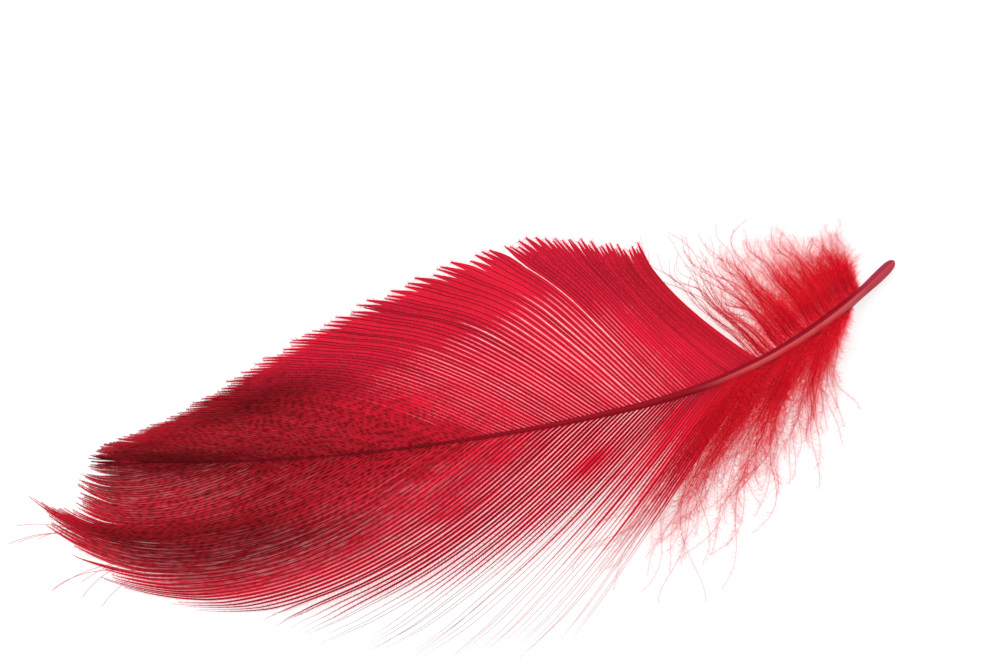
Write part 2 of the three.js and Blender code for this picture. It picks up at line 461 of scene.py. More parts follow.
def add_node(tree, kind, inputs=None, **settings):
    """A node with its settings and inputs. An input is a socket to link or a constant."""
    node = tree.nodes.new(kind)
    for key, value in settings.items():
        setattr(node, key, value)
    for key, value in (inputs or {}).items():
        if isinstance(value, bpy.types.NodeSocket):
            tree.links.new(value, node.inputs[key])
        else:
            node.inputs[key].default_value = value
    return node


def calc(tree, operation, *values):
    """A sum, product or other plain calculation on numbers."""
    return add_node(tree, "ShaderNodeMath", dict(enumerate(values)), operation=operation).outputs[0]


def times(tree, first, second):
    """The product of two numbers."""
    return calc(tree, "MULTIPLY", first, second)


def scaled(tree, value, by, plus):
    """A number times a factor, plus an amount."""
    return calc(tree, "MULTIPLY_ADD", value, by, plus)


def rise(tree, value, low, high):
    """0 below low, 1 above high and an S-shaped rise between."""
    inputs = {"Value": value, "From Min": low, "From Max": high}
    return add_node(tree, "ShaderNodeMapRange", inputs, interpolation_type="SMOOTHSTEP").outputs[0]


def fall(tree, value, low, high):
    """1 below low, 0 above high and an S-shaped fall between."""
    return calc(tree, "SUBTRACT", 1.0, rise(tree, value, low, high))


def noise(tree, along, back, rates, detail=1.0, offset=0.0):
    """Smooth noise over two numbers, about 0.5 on average. The rates say how fast it changes with each."""
    x, y = (times(tree, value, rate) for value, rate in zip((along, back), rates))
    place = add_node(tree, "ShaderNodeCombineXYZ", {"X": x, "Y": y, "Z": offset}).outputs[0]
    inputs = {"Vector": place, "Scale": 1.0, "Detail": detail}
    return add_node(tree, "ShaderNodeTexNoise", inputs, noise_dimensions="3D").outputs["Fac"]


def blend_colour(tree, factor, first, second):
    """A mix of two colours."""
    inputs = {0: factor, 6: first, 7: second}
    return add_node(tree, "ShaderNodeMix", inputs, data_type="RGBA").outputs[2]


def feather_coordinates(tree, along_scale=ALONG_SCALE, across_scale=BACK_SCALE):
    """Places on the map: millimetres along the barb from its root, and back along the shaft from its tip."""
    uv = add_node(tree, "ShaderNodeUVMap", uv_map=BAKE_MAP).outputs[0]
    parts = add_node(tree, "ShaderNodeSeparateXYZ", {0: uv})
    return times(tree, parts.outputs[0], along_scale), times(tree, parts.outputs[1], across_scale)


def read_fineness(tree):
    """How fine the fibre is: 0 for a barb or its web, 1 for a hair or a free barbule."""
    return add_node(tree, "ShaderNodeAttribute", attribute_name=FINENESS).outputs["Fac"]


def dye(tree, tone):
    """The dye at a given tone: red, a trace of green and a little blue, more of it where it is pale."""
    green = times(tree, tone, 0.024)
    blue = times(tree, tone, scaled(tree, tone, 0.03, 0.038))
    return add_node(tree, "ShaderNodeCombineColor", {"Red": tone, "Green": green, "Blue": blue}).outputs[0]


def finish_fibre(tree, colour, through, roughness, sheen):
    """Dyed keratin: a soft surface that lets part of the light through in its own colour."""
    inputs = {"Base Color": colour, "Roughness": roughness, "Specular IOR Level": sheen}
    surface = add_node(tree, "ShaderNodeBsdfPrincipled", inputs)
    passed = add_node(tree, "ShaderNodeBsdfTranslucent", {"Color": colour})
    both = add_node(tree, "ShaderNodeMixShader", {0: through, 1: surface.outputs[0], 2: passed.outputs[0]})
    add_node(tree, "ShaderNodeOutputMaterial", {"Surface": both.outputs[0]})


def barring(tree, along, back):
    """How dark the wavy bars across the barbs are: a wave along the barb, shifted by slow noise, broken into
    dashes by faster noise, strong over the outer half and faint near the base."""
    warp = noise(tree, along, back, (0.16, 0.33), 2.0)
    wave = calc(tree, "SINE", calc(tree, "ADD", times(tree, along, 6.4), times(tree, warp, 30.0)))
    broken = noise(tree, along, back, (0.9, 0.8), offset=7.0)
    level = calc(tree, "ADD", times(tree, wave, 0.5), times(tree, broken, 2.2))
    strength = scaled(tree, fall(tree, back, 26.0, 46.0), 0.52, 0.04)
    return times(tree, rise(tree, level, 0.85, 1.75), strength)


def vane_tone(tree, side, along, back):
    """How bright the dye is: deep at the tip and darker along the outer edge before the middle, and brighter
    behind, with a painted sheen that brightens the tip outwards. Bars, clouds and streaks darken it."""
    tone = scaled(tree, rise(tree, back, 6.0, 22.0), 0.6 - side["tip_tone"], side["tip_tone"])
    tone = scaled(tree, rise(tree, back, 20.0, 38.0), 0.34, tone)
    # Painted sheen: the tip brightens outwards, standing for sheen and light through the gaps at the barbs'
    # ends
    outward = times(tree, fall(tree, back, 12.0, 24.0), rise(tree, along, 2.0, 10.0))
    tone = scaled(tree, outward, side["tip_sheen"], tone)
    edge = times(tree, rise(tree, back, 22.0, 30.0), fall(tree, back, 32.0, 40.0))
    edge = times(tree, edge, rise(tree, along, 8.0, 19.0))
    rim = scaled(tree, rise(tree, along, 30.0, 38.0), 0.35, -side["edge_depth"])
    streak = noise(tree, along, back, (0.06, 2.04), offset=3.0)
    cloud = noise(tree, along, back, (0.09, 0.4), 2.0, 5.0)
    light = scaled(tree, streak, 0.5, scaled(tree, cloud, 0.9, 0.3))
    dark = scaled(tree, edge, rim, 1.0)
    dark = scaled(tree, rise(tree, along, 5.0, 22.0), -side["outer_depth"], dark)
    dark = scaled(tree, rise(tree, back, 50.0, 60.0), -side["base_depth"], dark)
    unbarred = calc(tree, "SUBTRACT", 1.0, barring(tree, along, back))
    return times(tree, times(tree, tone, light), times(tree, dark, unbarred))


def web_material(side):
    """The web of barbules: thin and lit through, with painted glints near the tip and in the middle, pale
    flecks and fine lines that stand for sheen and for light showing through between barbs, and paler single
    barbules in the open part."""
    material, tree = new_material(side["name"] + "_dyed_web")
    along, back = feather_coordinates(tree)
    near_tip = times(tree, fall(tree, back, 10.0, 34.0), side["glint"])
    middle = times(tree, rise(tree, back, 25.0, 35.0), fall(tree, back, 42.0, 50.0))
    glint_part = calc(tree, "MAXIMUM", near_tip, times(tree, middle, side["middle_glint"]))
    # Painted glints: pale pink flecks and fine lines that stand for sheen on the web and light showing
    # through between barbs
    glint = rise(tree, noise(tree, along, back, (0.4, 3.0), 2.0, 9.0), 0.42, 0.72)
    glint = times(tree, times(tree, glint, glint_part), rise(tree, along, 2.0, 8.0))
    lines = rise(tree, noise(tree, along, back, (0.55, 7.0), 2.0, 11.0), 0.56, 0.68)
    colour = dye(tree, vane_tone(tree, side, along, back))
    colour = blend_colour(tree, glint, colour, GLINT_PINK)
    colour = blend_colour(tree, times(tree, lines, glint_part), colour, GLINT_LINE_PINK)
    single = times(tree, read_fineness(tree), rise(tree, back, 28.0, 40.0))
    colour = blend_colour(tree, single, colour, BARBULE_PINK)
    finish_fibre(tree, colour, through=0.5, roughness=0.7, sheen=0.05)
    return material


def barb_material(side):
    """The barbs' own shafts: thicker than the web, so darker. Hairs have a tone of their own."""
    material, tree = new_material(side["name"] + "_dyed_barb")
    along, back = feather_coordinates(tree)
    share = scaled(tree, rise(tree, back, 32.0, 44.0), side["barb_depth"] - 0.68, 0.68)
    share = scaled(tree, rise(tree, back, 46.0, 58.0), 0.2, share)
    tone = scaled(tree, vane_tone(tree, side, along, back), share, 0.06)
    hair = scaled(tree, rise(tree, back, 30.0, 43.0), -0.55, 0.85)
    hair = scaled(tree, rise(tree, back, 50.0, 58.0), 0.35, hair)
    inputs = {0: read_fineness(tree), 2: tone, 3: hair}
    tone = add_node(tree, "ShaderNodeMix", inputs, data_type="FLOAT").outputs[0]
    finish_fibre(tree, dye(tree, tone), through=0.25, roughness=0.5, sheen=0.06)
    return material


def down_barb_material():
    """The down's barbs: a deeper red than their fluff."""
    material, tree = new_material("dyed_down_barb")
    streak = noise(tree, *feather_coordinates(tree), (0.15, 1.3), offset=3.0)
    tone = scaled(tree, streak, 0.4, 0.45)
    finish_fibre(tree, dye(tree, tone), through=0.4, roughness=0.6, sheen=0.05)
    return material


def down_material():
    """Lighter red fluff, a little uneven from lock to lock, with painted glints: paler pink streaks where the
    noise runs high.
    """
    material, tree = new_material("dyed_down")
    streak = noise(tree, *feather_coordinates(tree), (0.15, 3.5), 2.0, 3.0)
    colour = dye(tree, scaled(tree, streak, 0.6, 0.7))
    # Painted glints: paler pink streaks in the fluff
    colour = blend_colour(tree, rise(tree, streak, 0.52, 0.75), colour, FLUFF_GLINT_PINK)
    finish_fibre(tree, colour, through=0.6, roughness=0.8, sheen=0.05)
    return material


def shaft_material():
    """Smooth dyed keratin: deep red, with a paler band along the near side of the top from the quill to the
    middle, partly the keratin's milky tone and partly a painted highlight, fine streaks along it, and the
    quill paler in the same band with purplish flanks."""
    material, tree = new_material("dyed_shaft")
    along, around = feather_coordinates(tree, SHAFT_LENGTH, 1.0)
    streak = noise(tree, along, around, (0.35, 26.0), 3.0)
    off_band = calc(tree, "ABSOLUTE", calc(tree, "SUBTRACT", around, BAND_CENTRE))
    band = fall(tree, off_band, BAND_HALF - 0.03, BAND_HALF + 0.02)
    paled = times(tree, rise(tree, along, 3.5, 6.0), fall(tree, along, 20.0, 28.0))
    deep = blend_colour(tree, streak, *SHAFT_DEEP)
    deep = blend_colour(tree, rise(tree, along, 38.0, 56.0), deep, SHAFT_TIP_RED)
    # The paler band is partly the keratin's milky tone and partly a painted highlight on the top, on the
    # quill too
    highlight_red = blend_colour(tree, streak, *SHAFT_HIGHLIGHT_REDS)
    rachis = blend_colour(tree, times(tree, band, paled), deep, highlight_red)
    quill = blend_colour(tree, band, *QUILL_REDS)
    colour = blend_colour(tree, fall(tree, along, 3.5, 7.5), rachis, quill)
    bump = add_node(tree, "ShaderNodeBump", {"Height": streak, "Strength": 0.25, "Distance": 0.00006})
    inputs = {"Base Color": colour, "Normal": bump.outputs[0], "Roughness": 0.42, "Specular IOR Level": 0.04}
    surface = add_node(tree, "ShaderNodeBsdfPrincipled", inputs)
    add_node(tree, "ShaderNodeOutputMaterial", {"Surface": surface.outputs[0]})
    return material


# The pieces


def make_shaft(material):
    """The quill and rachis: rings of the tapering radius carried along the centreline, rounded at the bare
    end, a little flat on top and grooved underneath."""
    distance = SHAFT_LENGTH * np.linspace(0.0, 1.0, SHAFT_RINGS) ** 1.4
    _, sideways, upward = shaft_frame(distance)
    angle = 2.0 * np.pi * np.arange(SHAFT_SIDES) / SHAFT_SIDES
    grown = smoothstep(distance, 7.0, 12.0)[:, None]
    groove = GROOVE_DEPTH * grown * np.maximum(0.0, -np.sin(angle)) ** 4
    flat = TOP_FLAT * grown * np.maximum(0.0, np.sin(angle)) ** 6
    rounded = np.sqrt(1.0 - np.clip(1.0 - distance / END_ROUND, 0.0, 1.0) ** 2)[:, None]
    padded = np.pad(shaft_radius(distance), RADIUS_BLUR, mode="edge")
    blurred = 2 * RADIUS_BLUR + 1
    smooth_radius = np.convolve(padded, np.ones(blurred) / blurred, mode="valid")
    radius = (smooth_radius[:, None] * rounded + END_RADIUS) * (1.0 - groove - flat)
    across = (radius * np.cos(angle))[..., None] * -sideways[:, None]
    above = (radius * np.sin(angle))[..., None] * upward[:, None]
    points = shaft_centre(distance)[:, None] + across + above
    u = np.repeat(distance / SHAFT_LENGTH, SHAFT_SIDES)
    v = np.tile(np.arange(SHAFT_SIDES) / SHAFT_SIDES, SHAFT_RINGS)
    faces = ring_faces(1, SHAFT_RINGS, SHAFT_SIDES)
    piece = make_mesh("quill_and_rachis", points.reshape(-1, 3), faces, np.stack([u, v], axis=-1))
    dress(piece, material, "shaft")


def lock_groups(smallest, largest):
    """Runs of neighbouring barbs that cling together: the lock number of each barb. A lock's size is drawn
    between the limits given for its first barb."""
    count = len(smallest)
    drawn = np.floor(rng.uniform(smallest, largest + 1.0)).astype(int)
    starts = np.zeros(count, int)
    at = 0
    while at < count:
        starts[at] = 1
        at += drawn[at]
    return np.cumsum(starts) - 1


def lock_means(values, locks):
    """The mean of the barbs' values in each lock."""
    return np.bincount(locks, weights=values) / np.bincount(locks)


def past(shares, start, over):
    """0 up to a starting share, then the square of the part of the way past it."""
    return np.clip((shares - start) / over, 0.0, 1.0) ** 2


def gathered_backs(base_backs, locks, shares, split, pull, drift):
    """Where along the sheet each barb runs. Past its lock's split it drifts towards the middle of the lock,
    and the whole lock drifts a little to one side, so locks part and overlap."""
    start = split[locks][:, None]
    gather = np.clip((shares[None, :] - start) / (1.0 - start), 0.0, 1.1) ** GATHER_POWER
    middle = lock_means(base_backs, locks)
    drawn = (middle[locks] - base_backs)[:, None] * pull[locks][:, None] * gather
    return base_backs[:, None] + drawn + drift[locks][:, None] * gather


def to_next(points):
    """Vectors from each strand's points straight across to the next strand: the step between them, less its
    part along the strand. The last strand repeats the one before it."""
    step = np.diff(points, axis=0)
    step = np.concatenate([step, step[-1:]])
    forward = directions(points)[0]
    return step - np.sum(step * forward, axis=-1, keepdims=True) * forward


def patches(strands, every, parts):
    """Slow unevenness over a vane: random values on a coarse grid, a row for every few strands and a few
    parts along them, read smoothly between the grid's points."""
    coarse = rng.normal(0.0, 1.0, (strands // every + 2, parts + 1))
    row = np.arange(strands) / every
    low = row.astype(int)
    rows = mix(coarse[low], coarse[low + 1], smoothstep(row - low, 0.0, 1.0)[:, None])
    column = np.linspace(0.0, parts, BARB_POINTS)
    low = np.minimum(column.astype(int), parts - 1)
    return mix(rows[:, low], rows[:, low + 1], smoothstep(column - low, 0.0, 1.0))


def barb_places(side):
    """Where a vane's barbs leave the shaft: their count grows along the vane by the inverse of their step."""
    backs = np.linspace(TIP_BARB, VANE_LENGTH, 2000)
    step = even_steps(side["step"], backs / VANE_LENGTH)
    count = np.concatenate([[0.0], np.cumsum(np.diff(backs) / step[1:])])
    places = np.interp(np.arange(int(count[-1]) + 1), count, backs)
    return places + rng.normal(0.0, PLACE_SPREAD, len(places))


def vane_strands(side, shares):
    """The barbs of a vane: where each leaves the shaft, its length, its points, and the vector from each
    point to the next barb's, not much longer than their even spacing. Where the vane is hairy, locks split as
    the web ends and some hook back at their ends."""
    backs = np.linspace(0.0, VANE_LENGTH + SHEET_MARGIN, SHEET_ROWS)
    reached = shares * LONGEST
    sheet = barb_sheet(side, backs, reached)
    barb_backs = barb_places(side)
    barbs = len(barb_backs)
    open_part = smoothstep(barb_backs, *OPEN_PART)
    locks = lock_groups(mix(*LOCK_SMALLEST, open_part), mix(*LOCK_LARGEST, open_part))
    number = locks.max() + 1
    lock_back = lock_means(barb_backs, locks)
    tipness = 1.0 - smoothstep(lock_back, *TIP_LOCKS)
    parting = even_steps(side["gather"], lock_back / VANE_LENGTH)
    split = mix(rng.uniform(*SPLIT_AT, number), rng.uniform(*TIP_SPLIT_AT, number), tipness)
    pull = rng.uniform(*PULL, number) * parting
    drift = rng.normal(0.0, DRIFT, number) * parting
    hairy = side["hair"] * smoothstep(lock_back, *HAIR_PART)
    web_close = np.clip(even_steps(side["web_end"], lock_back / VANE_LENGTH) - 0.06, 0.4, 0.85)
    split = mix(split, web_close - 0.05, hairy)
    pull = mix(pull, rng.uniform(*HAIR_PULL, number), hairy)
    drift = mix(drift, rng.normal(0.0, HAIR_DRIFT, number), hairy)
    strand_backs = gathered_backs(barb_backs, locks, reached, split, pull, drift)
    hooked = rng.uniform(*END_HOOKS, number) * (rng.uniform(size=number) < HOOKED_PART) * hairy
    strand_backs += hooked[locks][:, None] * past(reached, *END_HOOK_RUN)
    sweep = even_steps(side["sweep"], barb_backs / VANE_LENGTH)
    strand_backs -= sweep[:, None] * past(reached, *END_SWEEP_RUN)
    loose = (mix(*LOOSE_SPREAD, open_part) * parting[locks])[:, None] * reached**3
    strand_backs += rng.normal(0.0, 1.0, (barbs, 1)) * (loose + STRAND_SPREAD * reached)
    points = strands_on(sheet, backs, strand_backs)
    even = strands_on(sheet, backs, np.broadcast_to(barb_backs[:, None], strand_backs.shape))
    lift = rng.uniform(0.0, LOCK_LIFT, number)[locks][:, None] * reached**2
    points[..., 2] = np.maximum(points[..., 2], 0.0) + lift + FLOOR_GAP
    spacing = np.linalg.norm(to_next(even), axis=-1)
    across = to_next(points)
    reach = np.linalg.norm(across, axis=-1)
    across *= np.minimum(1.0, WIDEST_STEP * spacing / (reach + 1e-9))[..., None]
    uneven = 0.02 + 0.05 * parting[locks][:, None]
    grown = 1.0 + uneven * rng.uniform(-1.0, 0.7, (barbs, 1))
    kept = shares[None, :] * grown / LONGEST
    length = barb_law(side, "vane", barb_backs)[2] * grown[:, 0]
    return barb_backs, length, read_along(points, kept), read_along(across, kept)


def stray_hairs(side, shares):
    """Hair-like barb ends that leave the vane's outer edge in tufts: barbs that stop turning at a share of
    their length, then bend the other way."""
    backs = np.repeat(np.array(side["strays"], float), STRAYS_EACH)
    count = len(backs)
    backs += rng.normal(0.0, 0.5, count)
    heading, turn, length = barb_law(side, "vane", backs)
    leave = rng.uniform(0.74, 0.86, (count, 1))
    bend = np.radians(rng.uniform(220.0, 380.0, (count, 1)))
    turned = turn[:, None] * np.minimum(shares, leave) ** TURN_POWER
    angle = heading[:, None] - turned + bend * np.maximum(0.0, shares - leave) ** 1.2
    points = carried(side, backs, angle, length * rng.uniform(0.94, 1.06, count), shares)
    points[..., 2] = np.maximum(points[..., 2], 0.0) + FLOOR_GAP
    return backs, length, points


def tip_strands(side, shares):
    """Barbs that run on from the shaft's tip, so that the vanes meet there: straight strands in a fan."""
    count = side["tip_strands"]
    fan = np.radians(np.linspace(-11.0, 1.0, count) + rng.normal(0.0, 0.8, count))
    backs = np.full(count, TIP_BARB)
    length = rng.uniform(4.4, 5.8, count)
    points = carried(side, backs, np.broadcast_to(fan[:, None], (count, len(shares))), length, shares)
    points[..., 2] += FLOOR_GAP
    return backs, length, points


def make_vane(side, barb_finish, web_finish):
    """One vane. Barbs are tapering tubes on the barb sheet, gathered into locks. The web is a strip on both
    sides of each barb that reaches towards its neighbours, whole near the tip, narrower where the vane is
    open and gone at the barb's hair-like end. Barbules are slivers that cross what the web leaves open."""
    name = side["name"]
    shares = np.linspace(0.0, 1.0, BARB_POINTS)
    barb_backs, length, points, across = vane_strands(side, shares)
    along_vane = barb_backs / VANE_LENGTH
    web_end = even_steps(side["web_end"], along_vane)
    web_end += rng.normal(0.0, 1.0, len(barb_backs)) * mix(0.03, 0.06, smoothstep(barb_backs, 46.0, 56.0))
    opened = np.clip(even_steps(side["opening"], along_vane), 0.0, 1.0)
    grown = mix(0.62, 1.0, smoothstep(barb_backs, 0.0, 30.0))
    worn = smoothstep(shares[None, :], web_end[:, None] - 0.2, web_end[:, None] + 0.06)
    hair = mix(*HAIR_RADII, shares[None, :])
    radius = mix(mix(*BARB_RADII, shares[None, :]) * grown[:, None], hair, worn)
    radius *= 1.0 - 0.6 * smoothstep(shares, 0.88, 1.0)
    fine = np.maximum(worn, smoothstep(shares, 0.78, 1.0))
    stray_backs, stray_length, stray_points = stray_hairs(side, shares)
    stray_radius = np.broadcast_to(mix(*STRAY_RADII, shares), stray_points.shape[:2])
    stray_fine = np.broadcast_to(smoothstep(shares, 0.72, 0.86), stray_points.shape[:2])
    tip_backs, tip_length, tip_points = tip_strands(side, shares)
    tip_radius = np.broadcast_to(mix(*TIP_STRAND_RADII, shares), tip_points.shape[:2])
    tip_fine = np.zeros(tip_points.shape[:2])
    vertices, faces, uv = tubes(
        shares,
        np.concatenate([points, stray_points, tip_points]),
        np.concatenate([radius, stray_radius, tip_radius]),
        BARB_SIDES,
        np.concatenate([barb_backs, stray_backs, tip_backs]),
        np.concatenate([length, stray_length, tip_length]),
    )
    fine = np.repeat(np.concatenate([fine, stray_fine, tip_fine]).reshape(-1), BARB_SIDES)
    piece = make_mesh(name + "_barbs", vertices, faces, uv, fineness=fine)
    dress(piece, barb_finish, name + "_vane")

    web_points, web_faces, web_uv = web_strips(side, points, across, barb_backs, length, web_end, opened)
    sliver_points, sliver_uv = slivers(points, across, radius, barb_backs, length, web_end, opened)
    sliver_faces = np.arange(len(sliver_points)).reshape(-1, 4) + len(web_points)
    vertices = np.concatenate([web_points, sliver_points])
    uv = np.concatenate([web_uv, sliver_uv])
    fine = np.repeat([0.0, 1.0], [len(web_points), len(sliver_points)])
    piece = make_mesh(name + "_web", vertices, [web_faces, sliver_faces], uv, smooth=False, fineness=fine)
    dress(piece, web_finish, name + "_vane")


def web_strips(side, points, across, barb_backs, length, web_end, opened):
    """Strips along the barbs, three points across: towards the barb before, on the barb and towards the barb
    after. They reach over half of the way where the web is whole."""
    barbs = len(barb_backs)
    shares = np.linspace(0.0, 1.0, BARB_POINTS)
    whole = 1.0 - smoothstep(shares[None, :], web_end[:, None] - 0.42, web_end[:, None] + 0.1)
    whole *= 1.0 - smoothstep(shares, 0.93, 1.03)
    uneven = rng.normal(0.0, 0.01, points.shape[:2]) + rng.normal(0.0, 0.02, (barbs, 1)) * opened[:, None]
    open_here = opened[:, None] * (1.0 - side["edge_close"] * smoothstep(shares, 0.4, 0.95))
    open_here *= np.clip(1.0 + side["patchy"] * patches(barbs, 5, 9), 0.4, 1.3)
    slits = smoothstep(patches(barbs, 2, 13), 0.2, 1.4) * smoothstep(shares, 0.2, 0.55)
    slits *= side["slits"] * (1.0 - smoothstep(barb_backs, *SLIT_PART))[:, None]
    part = (mix(WEB_WHOLE, WEB_OPEN, np.maximum(open_here, slits)) + uneven) * whole
    part = np.where(whole > 0.0, np.maximum(part, WEB_LEAST), 0.0)
    before = np.concatenate([across[:1], across[:-1]]) * -part[..., None]
    after = across * part[..., None]
    drop = np.array([0.0, 0.0, WEB_DROP])
    rows = np.stack([points + before - drop, points - 0.2 * drop, points + after - 0.4 * drop], axis=2)
    i, j, k = np.meshgrid(np.arange(barbs), np.arange(BARB_POINTS - 1), np.arange(2), indexing="ij")
    first = (i * BARB_POINTS + j) * 3 + k
    corners = [first, first + 1, first + 4, first + 3]
    if side["sign"] < 0:
        corners = corners[::-1]
    faces = np.stack(corners, axis=-1)[np.broadcast_to((whole > 0.0)[:, :-1, None], first.shape)]
    step = np.gradient(barb_backs)[:, None, None] * np.stack([-part, 0.0 * part, part], axis=2)
    along = np.broadcast_to((shares[None, :] * length[:, None])[..., None], step.shape)
    uv = np.stack([along / ALONG_SCALE, (barb_backs[:, None, None] + step) / BACK_SCALE], axis=-1)
    return rows.reshape(-1, 3), faces.reshape(-1, 4), uv.reshape(-1, 2)


def slivers(points, across, radius, barb_backs, length, web_end, opened):
    """Barbules: narrowing slivers from either flank of each barb, forward and outward, close where the vane
    is open and along its edge, few where the web is whole."""
    steps = (np.arange(BARBULES) + 0.5) / BARBULES
    where = steps + rng.uniform(-0.5, 0.5, (len(barb_backs), 2, BARBULES)) / BARBULES
    where = np.clip(where, 0.004, 1.0)
    flank = np.broadcast_to(np.array([-1.0, 1.0])[None, :, None], where.shape)
    forward, sideways, upward = (read_along(part, where) for part in directions(points))
    barb_radius = read_along(radius, where)
    back_here = barb_backs[:, None, None]
    end_here = web_end[:, None, None]
    wanted = np.maximum(2.0 * opened[:, None, None], smoothstep(where, end_here - 0.45, end_here - 0.25))
    alive = where < end_here + rng.uniform(-0.05, 0.06, where.shape)
    alive &= rng.uniform(size=where.shape) < wanted
    spacing = read_along(np.linalg.norm(across, axis=-1), where)
    reach = 0.85 * spacing * (1.0 - 0.65 * smoothstep(where, end_here - 0.2, end_here))
    reach = np.minimum(reach, 0.4) * rng.uniform(0.7, 1.2, where.shape)
    half_width = 0.5 * rng.uniform(*BARBULE_WIDTHS, where.shape)
    lean = np.radians(rng.normal(46.0, 8.0, where.shape))
    tilt = rng.normal(-0.02, 0.04, where.shape)
    root = read_along(points, where) + (flank * barb_radius * 0.5)[..., None] * sideways
    out = np.cos(lean)[..., None] * forward + (flank * np.sin(lean))[..., None] * sideways
    end = root + reach[..., None] * out + tilt[..., None] * upward
    half = half_width[..., None] * forward
    quad = np.stack([root - half, root + half, end + 0.35 * half, end - 0.35 * half], axis=3)
    order = np.where(flank[..., None] > 0, np.arange(4), np.arange(3, -1, -1))
    quad = np.take_along_axis(quad, order[..., None], axis=3)[alive]
    quad[..., 2] = np.maximum(quad[..., 2], LOWEST)
    near = where * length[:, None, None]
    away = near + reach * np.cos(lean)
    map_along = np.stack([near - half_width, near + half_width, away + half_width, away - half_width], axis=3)
    map_out = back_here + flank * reach * np.sin(lean)
    map_root = back_here + 0.0 * where
    map_back = np.stack([map_root, map_root, map_out, map_out], axis=3)
    uv = np.stack([map_along / ALONG_SCALE, map_back / BACK_SCALE], axis=-1)
    uv = np.take_along_axis(uv, order[..., None], axis=3)[alive]
    return quad.reshape(-1, 3), uv.reshape(-1, 2)


def make_down(side, barb_finish, fluff_finish):
    """The down: loose barbs fanning from the base, gathered in locks that share their waves and turns, each
    with long free barbules as ribbons, so the tuft is a soft mass near the shaft and wisps at its edge."""
    name = side["name"]
    shares = np.linspace(0.0, 1.0, DOWN_POINTS)
    steps = np.linspace(0.0, 1.0, DOWN_BARBS) ** side["down_crowding"]
    barb_backs = mix(DOWN_FROM - side["down_overlap"], side["down_to"], steps)
    barb_backs += rng.normal(0.0, 0.05, DOWN_BARBS)
    locks = lock_groups(*(np.full(DOWN_BARBS, size) for size in DOWN_LOCKS))
    number = locks.max() + 1

    def varied(by_lock, by_barb):
        degrees = rng.normal(0.0, by_lock, number)[locks] + rng.normal(0.0, by_barb, DOWN_BARBS)
        return np.radians(degrees)[:, None]

    heading, turn, length = barb_law(side, "down", barb_backs)
    length *= 0.6 + 0.45 * rng.uniform(size=DOWN_BARBS) ** 1.5
    waves = 2.0 * np.pi * rng.uniform(1.2, 2.8, number)[locks][:, None]
    phase = rng.uniform(0.0, 2.0 * np.pi, number)[locks][:, None] + rng.normal(0.0, 0.5, (DOWN_BARBS, 1))
    swing = np.radians(rng.uniform(12.0, 40.0, number)[locks][:, None])
    swing *= rng.uniform(0.6, 1.4, (DOWN_BARBS, 1))
    angle = heading[:, None] + varied(4.0, 3.0) - (turn[:, None] + varied(16.0, 10.0)) * shares**TURN_POWER
    angle += swing * shares**1.3 * np.sin(waves * shares + phase)
    points = carried(side, barb_backs, angle, length, shares)
    beside = smoothstep(shares[None, :] * length[:, None], 0.3, 3.0)
    lift = rng.uniform(0.0, DOWN_LIFT, (DOWN_BARBS, 1)) * np.sin(np.pi * shares**0.8) * beside
    sunk = 0.6 * shaft_radius(SHAFT_LENGTH - barb_backs)[:, None] * (1.0 - beside)
    radius = np.broadcast_to(mix(*DOWN_RADII, shares[None, :] ** 0.7), points.shape[:2])
    points[..., 2] = np.maximum(points[..., 2], 0.0) + lift - sunk + FLOOR_GAP
    piece = make_mesh(name + "_down_barbs", *tubes(shares, points, radius, DOWN_SIDES, barb_backs, length))
    dress(piece, barb_finish, name + "_down")
    ribbon_points, ribbon_faces, ribbon_uv = fluff(side, points, barb_backs, length)
    piece = make_mesh(name + "_fluff", ribbon_points, [ribbon_faces], ribbon_uv)
    dress(piece, fluff_finish, name + "_down")


